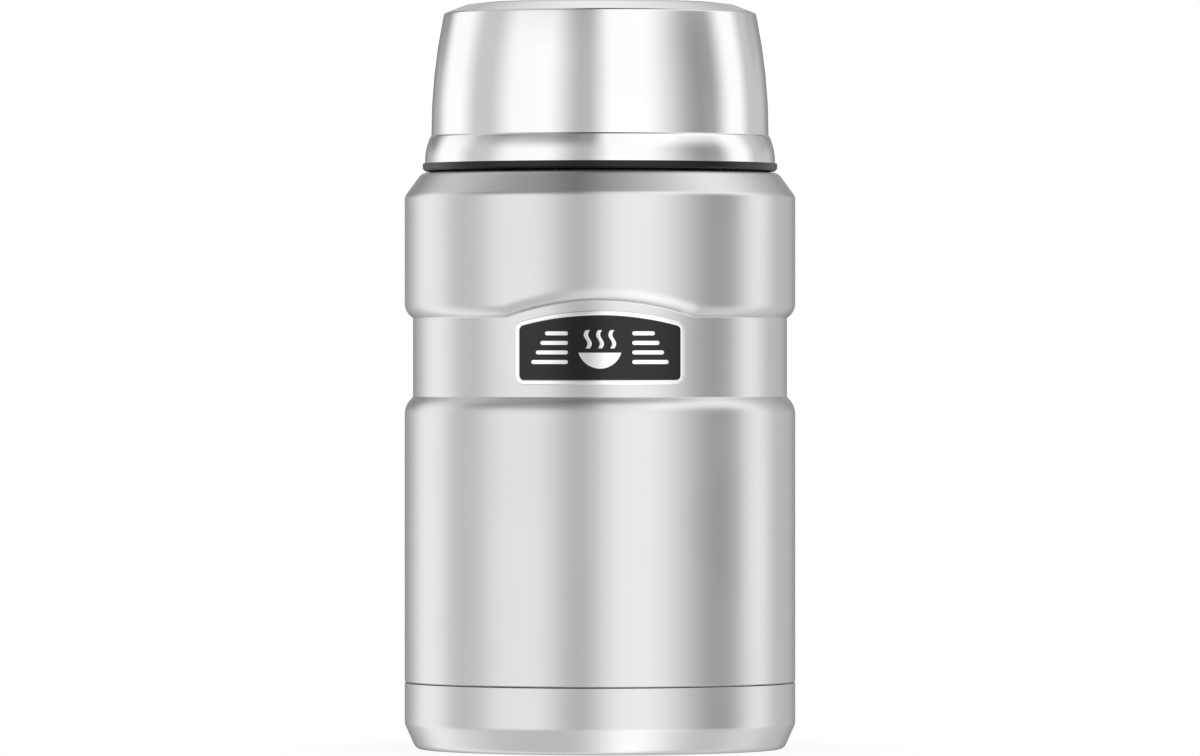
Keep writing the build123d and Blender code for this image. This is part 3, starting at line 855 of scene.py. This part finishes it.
# %% [markdown]
# ## Serving bowl
# The polished lid is a bowl of two turned steel walls, upside down over the stopper. Its outer wall has a short skirt
# that leans in, a crisp step, a tall wall that bends in very slightly, and a bevel up to a flat foot. A black collar
# with the thread closes it below, and its ring is the dark line under the skirt.

# %% Bowl: outer wall
skirt_edge, skirt_height, skirt_lean = 0.06 * mm, 7.1 * mm, 1.38 * mm
skirt_bend_height, skirt_bend_round = 3.7 * mm, 16.0 * mm
wall_inset, wall_rise, wall_lean = 1.72 * mm, 0.38 * mm, 3.38 * mm
wall_bend_height, wall_bend_round = 16.65 * mm, 152.0 * mm
bevel_height, bevel_run = 2.72 * mm, 6.9 * mm
cup_foot_width, cup_foot_round = 4.5 * mm, 4.0 * mm
cup_recess_depth, cup_recess_run = 0.9 * mm, 1.2 * mm
rim_out, rim_down, rim_in, rim_up = 0.05 * mm, 0.23 * mm, 0.31 * mm, 0.117 * mm
foot_out, foot_down, foot_in = 0.8 * mm, 0.42 * mm, 3.2 * mm

skirt_radius, skirt_foot = cup_reach.x, cup_skirt.z
skirt_top = skirt_foot + skirt_height
wall_radius = skirt_radius - wall_inset
wall_high = cup_top - bevel_height
bevel_radius = wall_radius - wall_lean
cup_foot_radius = bevel_radius - bevel_run
cup_foot_inner = cup_foot_radius - cup_foot_width
cup_way = [
    (skirt_radius, skirt_foot, skirt_edge),
    (skirt_radius, skirt_foot + skirt_bend_height, skirt_bend_round),
    (skirt_radius - skirt_lean, skirt_top),
    (wall_radius, skirt_top + wall_rise),
    (wall_radius, skirt_top + wall_bend_height, wall_bend_round),
    # two corners instead of one: the bevel's rim has a small chamfer
    (bevel_radius + rim_out, wall_high - rim_down, crisp),
    (bevel_radius - rim_in, wall_high + rim_up, crisp),
    # and two for the foot's edge, which make it a long, soft bend
    (cup_foot_radius + foot_out, cup_top - foot_down, cup_foot_round),
    (cup_foot_radius - foot_in, cup_top, cup_foot_round),
    (cup_foot_inner, cup_top, soft),
    (cup_foot_inner - cup_recess_run, cup_top - cup_recess_depth, soft),
    (0, cup_top - cup_recess_depth),
]
turned("bowl_outer_wall", sheet(cup_way, steel_sheet), bright, "bowl", "cup_outer_shell", 360)

# %% Bowl: inner wall
bowl_gap, bowl_lip_width, bowl_lip_round = 1.4 * mm, 1.6 * mm, 0.25 * mm
bowl_lean, bowl_floor_round = 2.4 * mm, 6.0 * mm
bowl_radius = wall_radius - 2 * steel_sheet - bowl_gap
bowl_floor = bowl_reach.z - steel_sheet
bowl_way = [
    (bowl_radius + bowl_lip_width, bowl_lip.z),
    (bowl_radius, bowl_lip.z, bowl_lip_round),
    (bowl_radius - bowl_lean, bowl_floor, bowl_floor_round),
    (0, bowl_floor),
]
turned("bowl_inner_wall", sheet(bowl_way, steel_sheet, -1), liner_finish, "bowl", "cup_inner_shell")

# %% Bowl: collar and its thread
cap_wall, ring_chamfer, ring_lip = 2.0 * mm, 0.65 * mm, 0.1 * mm
ring_round, lip_round, groove_round = 0.2 * mm, 0.03 * mm, 0.01 * mm
groove_side, groove_depth = 0.01 * mm, 0.02 * mm
collar_fit, collar_lean = 0.1 * mm, 1.3 * mm
collar_bend_height, collar_bend_round = 1.85 * mm, 0.05 * mm

stopper_bore = neck_radius + thread_height + thread_gap
stopper_radius = stopper_bore + cap_wall
collar_bore = stopper_radius + thread_height + thread_gap
ring_radius, ring_top = collar_reach.x, skirt_foot + ring_lip
groove_radius, groove_foot = skirt_radius + groove_side, skirt_foot - groove_depth
collar_inside = skirt_radius - steel_sheet - collar_fit
collar_corners = [
    (collar_bore, collar_foot.z, crisp),
    (ring_radius - ring_chamfer, collar_foot.z, crisp),
    (ring_radius, collar_foot.z + ring_chamfer, crisp),
    (ring_radius, ring_top, ring_round),
    (groove_radius, ring_top, lip_round),
    (groove_radius, groove_foot, groove_round),
    (collar_inside, groove_foot, groove_round),
    (collar_inside - collar_fit, skirt_foot + collar_bend_height, collar_bend_round),
    (skirt_radius - collar_lean - steel_sheet - 3 * collar_fit, collar_reach.z, ring_round),
    (collar_bore, collar_reach.z, crisp),
]
turned("bowl_collar", collar_corners, black_plastic, "bowl", "cup_collar")
cup_thread_low = cap_foot.z + cup_thread_rise
thread("collar_thread", collar_bore, cup_thread_low - ridge_pitch / 2, -1, black_plastic, "bowl")

# %% [markdown]
# ## Stopper
# Under the bowl sits a screw-in stopper: a cap with a fluted grip, a hollow plug that reaches into the mouth and a
# silicone gasket between the two. A tree presses the flutes in: it draws the columns together at each flute, where
# the bend is tight, and then moves the points in by the flute's round depth.

# %% The flute tree
grip_count, grip_gather, flute_radius, flute_depth = 48, 0.6, 1.1 * mm, 0.5 * mm
wall_share = 0.99


@shape_tree
def grip_flutes(tree, shape, wall, flute, depth, low, high, gather, count: int):
    """Presses round upright flutes into a wall between two heights."""
    x, y, z = point_parts(tree)
    radius = from_axis(x, y)
    angle = y.by("ARCTAN2", x)
    angle = angle - (angle * count).by("SINE") * gather / count
    beside = angle.by("PINGPONG", 2 * pi / count / 2) * wall
    under = (flute * flute - beside * beside).by("MAXIMUM", 0.0)
    pressed = (under.by("SQRT") - (flute - depth)).by("MAXIMUM", 0.0)
    inside = z.by("GREATER_THAN", low) * z.by("LESS_THAN", high) * radius.by("GREATER_THAN", wall * wall_share)
    reach = radius - pressed * inside
    return moved(tree, shape, reach * angle.by("COSINE"), reach * angle.by("SINE"), z)


print("grip of", grip_count, "flutes")

# %% Stopper: cap
cap_top = cap_reach.z
cap_edge, cap_rim_width, recess_depth, recess_plate = 1.2 * mm, 4.4 * mm, 0.8 * mm, 2.0 * mm
recess_radius = stopper_radius - cap_rim_width
plate_low = cap_top - recess_depth - recess_plate
grip_low, grip_high = cap_foot.z + 9.0 * mm, cap_foot.z + 15.4 * mm
edge_out, edge_in = 0.05 * mm, 0.15 * mm
bore_round, mouth_round = 0.5 * mm, 0.4 * mm
cap_corners = [
    (0, plate_low),
    (stopper_bore, plate_low, bore_round),
    (stopper_bore, cap_foot.z, crisp),
    (stopper_radius, cap_foot.z, mouth_round),
    # two points close together at either end of the flutes, which start and stop between them
    (stopper_radius, grip_low - edge_out),
    (stopper_radius, grip_low + edge_in),
    (stopper_radius, grip_high - edge_in),
    (stopper_radius, grip_high + edge_out),
    (stopper_radius, cap_top, cap_edge),
    (recess_radius, cap_top, crisp),
    (recess_radius - recess_depth, cap_top - recess_depth, crisp),
    (0, cap_top - recess_depth),
]
grip_sizes = {"wall": stopper_radius, "flute": flute_radius, "depth": flute_depth, "low": grip_low, "high": grip_high}
grip_sizes |= {"gather": grip_gather, "count": grip_count}
turned("stopper_cap_turned", cap_corners, black_plastic, "stopper", "stopper_cap", 576, grip_flutes, **grip_sizes)

# %% Stopper: threads
thread("cap_thread", stopper_radius, cup_thread_low, 1, black_plastic, "stopper")
thread("bore_thread", stopper_bore, neck_thread_low - ridge_pitch / 2, -1, black_plastic, "stopper")

# %% Stopper: plug and gasket
liner_sheet, neck_vacuum_gap = 0.4 * mm, 0.8 * mm
plug_play, plug_wall, plug_round, flange_thickness = 0.8 * mm, 1.6 * mm, 2.5 * mm, 2.0 * mm
seal_gap = 0.05 * mm

neck_bore = neck_radius - steel_sheet - neck_vacuum_gap - liner_sheet
plug_radius = neck_bore - plug_play
plug_inside, plug_floor = plug_radius - plug_wall, plug_foot.z + plug_wall
flange_low = gasket_reach.z + seal_gap
flange_high = flange_low + flange_thickness
plug_corners = [
    (0, plug_foot.z),
    (plug_radius, plug_foot.z, plug_round),
    (plug_radius, flange_low),
    (plug_reach.x, flange_low, crisp),
    (plug_reach.x, flange_high, crisp),
    (plug_radius, flange_high),
    (plug_radius, plug_reach.z),
    (plug_inside, plug_reach.z),
    (plug_inside, plug_floor),
    (0, plug_floor),
]
turned("stopper_plug_turned", plug_corners, grey_plastic, "stopper", "stopper_plug")

gasket_lip_play, gasket_thickness, gasket_round = 0.12 * mm, 1.4 * mm, 0.4 * mm
gasket_inner = plug_radius + seal_gap
gasket_lip = neck_bore - gasket_lip_play
gasket_flat = gasket_reach.z - gasket_thickness
gasket_corners = [
    (gasket_inner, gasket_foot.z),
    (gasket_lip, gasket_foot.z, crisp),
    (gasket_lip, gasket_flat),
    (gasket_reach.x, gasket_flat, gasket_round),
    (gasket_reach.x, gasket_reach.z, gasket_round),
    (gasket_inner, gasket_reach.z),
]
turned("gasket_turned", gasket_corners, silicone, "gasket", "stopper_gasket")

# %% [markdown]
# ## Plates cut from outlines
# The badge's parts and the stopper's arrows are thin flat plates, and a filled 2D curve gives such a plate with a
# rounded edge at once. The ones on the badge then bend round the waist: the plate is sliced into narrow strips, and
# each point moves back to the cylinder behind it.

# %% Plate helpers
slice_tolerance, weld_distance = 0.0005 * mm, 0.001 * mm


def flat_plate(name, outlines, thickness, edge_round, finish):
    """A plate lying in X and Y with its underside at z = 0. The first outline is its edge, and any others are holes."""
    curve = bpy.data.curves.new(name, "CURVE")
    curve.dimensions = "2D"
    curve.fill_mode = "BOTH"
    curve.extrude = thickness / 2 - edge_round
    curve.bevel_depth = edge_round
    curve.offset = -edge_round
    curve.bevel_resolution = 3
    for points in outlines:
        spline = curve.splines.new("POLY")
        spline.points.add(len(points) - 1)
        spline.points.foreach_set("co", [c for x, y in points for c in (x, y, 0, 1)])
        spline.use_cyclic_u = True
    drawn = new_piece(name + "_drawn", curve)
    mesh = settled_mesh(drawn)
    bpy.data.objects.remove(drawn)
    with opened(mesh) as form:
        bmesh.ops.remove_doubles(form, verts=form.verts, dist=weld_distance)
        bmesh.ops.translate(form, verts=form.verts, vec=(0, 0, thickness / 2))
        for face in form.faces:
            face.smooth = True
    mesh.materials.clear()
    mesh.materials.append(finish)
    return new_piece(name, mesh)


def slice_upright(form, strip, reach):
    """Cuts an open mesh into strips as far as a reach on either side of the middle."""
    for k in range(-int(reach / strip), int(reach / strip) + 1):
        geometry = form.verts[:] + form.edges[:] + form.faces[:]
        place = (k * strip, 0, 0)
        bmesh.ops.bisect_plane(form, geom=geometry, plane_co=place, plane_no=(1, 0, 0), dist=slice_tolerance)


def arc(centre, radius, start, end, steps):
    """Points of an arc, its angles in degrees."""
    angles = [radians(start + (end - start) * k / steps) for k in range(steps + 1)]
    return [(centre[0] + radius * cos(a), centre[1] + radius * sin(a)) for a in angles]


# %% [markdown]
# ## Badge
# The badge is a black enamelled plate with an arched top, a bright border and a bright raised figure: a steaming bowl
# between short rules. Its outline repeats the shell's arch, drawn in step by step from the border to the plate.

# %% Badge: outline
badge_half, badge_height = badge_reach.x, badge_reach.z - badge_foot.z
badge_corner, badge_border, badge_curve = 2.4 * mm, 1.25 * mm, 78.6 * mm
badge_gap, badge_strip = 0.05 * mm, 0.5 * mm
badge_back = waist_radius + badge_gap
border_thickness, border_round = 0.7 * mm, 0.28 * mm
plate_thickness, plate_round, plate_gap = 0.4 * mm, 0.08 * mm, 0.05 * mm
raised_thickness, raised_round = 0.22 * mm, 0.07 * mm
raised_back = badge_back + plate_thickness
corner_steps, top_steps = 8, 48


def badge_outline(inset):
    """The arch-topped outline drawn in by an inset, its corners rounded."""
    half, low, top = badge_half - inset, badge_foot.z + inset, badge_reach.z - inset
    curve = badge_curve - inset
    corner = max(badge_corner - inset, badge_border)
    middle = top - curve
    side = half - corner
    lean = sqrt((curve - corner) ** 2 - side * side)
    tilt = degrees(asin(side / (curve - corner)))
    points = arc((-side, low + corner), corner, 180, 270, corner_steps)
    points += arc((side, low + corner), corner, 270, 360, corner_steps)
    points += arc((side, middle + lean), corner, 0, 90 - tilt, corner_steps)
    points += arc((0, middle), curve, 90 - tilt, 90 + tilt, top_steps)[1:-1]
    return points + arc((-side, middle + lean), corner, 90 + tilt, 180, corner_steps)


# %% Badge: border and plate
def on_badge(name, outlines, thickness, edge_round, finish, back, stands_for):
    """Bends a plate round the waist at its back's radius and seats it on the jar. The plate's x stays, its y becomes
    the height and its thickness points outwards."""
    plate = flat_plate(name, outlines, thickness, edge_round, finish)
    with opened(plate.data) as form:
        slice_upright(form, badge_strip, max(abs(v.co.x) for v in form.verts))
        for v in form.verts:
            x, height, out = v.co
            v.co = (x, -sqrt((back + out) ** 2 - x * x), height)
        bmesh.ops.recalc_face_normals(form, faces=form.faces)
    seat(plate, "jar", stands_for)


rings = [badge_outline(0), badge_outline(badge_border)]
on_badge("badge_border", rings, border_thickness, border_round, badge_bright, badge_back, "badge_frame")
field = [badge_outline(badge_border + plate_gap)]
on_badge("badge_plate", field, plate_thickness, plate_round, badge_black, badge_back, "badge_field")

# %% Badge: figure
badge_middle = badge_foot.z + badge_height / 2
line = 1.1 * mm
steam_height, steam_spacing, steam_sway, steam_steps = 4.8 * mm, 3.2 * mm, 0.5 * mm, 12
bowl_half, bowl_depth = 5.6 * mm, 4.2 * mm
bowl_top = badge_middle - steam_height / 2 + line
bowl_curve = (bowl_half**2 + bowl_depth**2) / (2 * bowl_depth)
bowl_open = degrees(asin(bowl_half / bowl_curve))


def steam(x, low):
    """The outline of one wavering line of steam."""
    heights = [k / steam_steps for k in range(steam_steps + 1)]
    middle = [(x + steam_sway * sin(2 * pi * h), low + steam_height * h) for h in heights]
    return [(c + line / 2, z) for c, z in middle] + [(c - line / 2, z) for c, z in reversed(middle)]


figure = [arc((0, bowl_top - bowl_depth + bowl_curve), bowl_curve, 270 - bowl_open, 270 + bowl_open, 32)]
figure += [steam(k * steam_spacing, bowl_top + line) for k in (-1, 0, 1)]
on_badge("badge_figure", figure, raised_thickness, raised_round, badge_bright, raised_back, "badge_motif")

# %% [markdown]
# ## Rules beside the figure
# Four short rules stand on either side of the figure, each shorter than the one below it. A tree copies one rule up
# a line on both sides, stretches each copy from its middle to its own length and bends it on to the plate.

# %% The rules tree
rule_count, rule_spacing, rule_start = 4, 2.5 * mm, 8.4 * mm
rule_length, rule_shorten = 9.6 * mm, 1.2 * mm


@shape_tree
def rules_on_badge(tree, shape, spacing, start, longest, shorten, middle, straight, radius, count: int):
    """Copies a short rule up a line on both sides, stretches each copy to its length and bends it round the waist."""
    spots = node(tree, "GeometryNodeMeshLine", {"Count": count * 2, "Offset": (0, 0, 0)}).outputs[0]
    capture = node(tree, "GeometryNodeCaptureAttribute", {"Geometry": spots}, domain="POINT")
    capture.capture_items.new("INT", "Number")
    feed(tree, capture.inputs["Number"], counted(tree))
    copies = node(tree, "GeometryNodeInstanceOnPoints", {0: capture.outputs[0], 2: shape}).outputs[0]
    real = node(tree, "GeometryNodeRealizeInstances", {0: copies}).outputs[0]
    number = Number(tree, capture.outputs["Number"])
    step = (number / 2).by("FLOOR")
    side = number.by("MODULO", 2) * 2 - 1
    length = longest - shorten * step
    x, y, z = point_parts(tree)
    held = x.by("MINIMUM", straight).by("MAXIMUM", straight * -1)
    stretched = held * (length * 0.5 / straight - 1) + x
    across = (start + length * 0.5) * side + stretched
    height = middle + (step - (count - 1) * 0.5) * spacing + y
    out = radius + z
    back = (out * out - across * across).by("SQRT") * -1
    return moved(tree, real, across, back, height)


print(rule_count, "rules on either side")

# %% Badge: rules
straight = 2.5 * mm
capsule = arc((straight, 0), line / 2, -90, 90, 12) + arc((-straight, 0), line / 2, 90, 270, 12)
rules = flat_plate("badge_rules", [capsule], raised_thickness, raised_round, badge_bright)
with opened(rules.data) as form:
    slice_upright(form, straight / 4, straight)
rule_sizes = {"spacing": rule_spacing, "start": rule_start + line / 2, "longest": rule_length - line}
rule_sizes |= {"shorten": rule_shorten, "middle": badge_middle, "straight": straight, "radius": raised_back}
apply_tree(rules, rules_on_badge, badge_bright, **rule_sizes, count=rule_count)
seat(rules, "jar")

# %% [markdown]
# ## Arrows on the stopper
# Two raised arrows on the cap show which way it unscrews. Each is one flat plate with a rounded edge, laid on the
# recessed top.

# %% Arrows
arrow_radius, arrow_width, arrow_head_width, arrow_proud = 24.0 * mm, 2.4 * mm, 6.4 * mm, 0.5 * mm
arrow_span, arrow_head_span, arrow_starts = 70, 16, (20, 200)


def arrow_outline(start):
    """A curved arrow that begins at an angle in degrees."""
    end = start + arrow_span
    half, head = arrow_width / 2, arrow_head_width / 2
    shaft_out = arc((0, 0), arrow_radius + half, start, end, 24)
    shaft_in = arc((0, 0), arrow_radius - half, end, start, 24)
    corners = ((arrow_radius + head, end), (arrow_radius, end + arrow_head_span), (arrow_radius - head, end))
    return shaft_out + [(r * cos(radians(a)), r * sin(radians(a))) for r, a in corners] + shaft_in


arrow_outlines = [arrow_outline(start) for start in arrow_starts]
arrows = flat_plate("stopper_arrows", arrow_outlines, arrow_proud, edge, black_plastic)
for vertex in arrows.data.vertices:
    vertex.co.z += cap_top - recess_depth
seat(arrows, "stopper")

# %% [markdown]
# ## Inner vessel
# The liner is the wall that the food touches: a rolled rim, a narrow throat and a straight wall, with a dish welded
# under it. Both are turned sheets with the same brushed finish.

# %% Inner vessel
throat_height, throat_round = 17.2 * mm, 5.0 * mm
liner_shoulder_height, cavity_round = 9.0 * mm, 8.0 * mm
cavity_radius, cavity_floor = dish_reach.x - liner_sheet, dish_foot.z + liner_sheet
liner_joint = dish_reach.z
liner_way = [
    (neck_radius, rim),
    (neck_bore, rim, neck_round),
    (neck_bore, rim - throat_height, throat_round),
    (cavity_radius, rim - throat_height - liner_shoulder_height, cavity_round),
    (cavity_radius, liner_joint),
]
turned("inner_vessel_turned", sheet(liner_way, liner_sheet), liner_finish, "jar", "inner_vessel")
dish_way = [(cavity_radius, liner_joint), (cavity_radius, cavity_floor, cavity_round), (0, cavity_floor)]
turned("inner_bottom_turned", sheet(dish_way, liner_sheet), liner_finish, "jar", "inner_bottom")

# %% [markdown]
# ## Hidden parts
# What closes the vacuum and fills the stopper keeps its CAD shape, which is right and hardly shows, but gets its
# real finish.

# %% Finishes of the CAD nodes that stay
hidden_finishes = {
    "outer_bottom": bare_finish,
    "evacuation_seal": braze,
    "base_adhesive_ring": adhesive,
    "radiation_foil": copper_foil,
    "getter_clip": bare_finish,
    "getter_pellet": getter,
    "stopper_foam": foam,
    "cup_seal": silicone,
}
for name, material in hidden_finishes.items():
    for material_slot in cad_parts[name].material_slots:
        material_slot.material = material
    print(name, "keeps its CAD shape and gets", material.name)

# %% [markdown]
# ## Finish
# The CAD model's box and the visual model's box are printed side by side.

# %% Sizes side by side
visual_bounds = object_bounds()


def plain_box(box):
    """A box as plain lists of numbers."""
    return [[float(c) for c in corner] for corner in box]


for low, high in (plain_box(cad_bounds), plain_box(visual_bounds)):
    print("box in mm", [round((b - a) / mm, 2) for a, b in zip(low, high)])
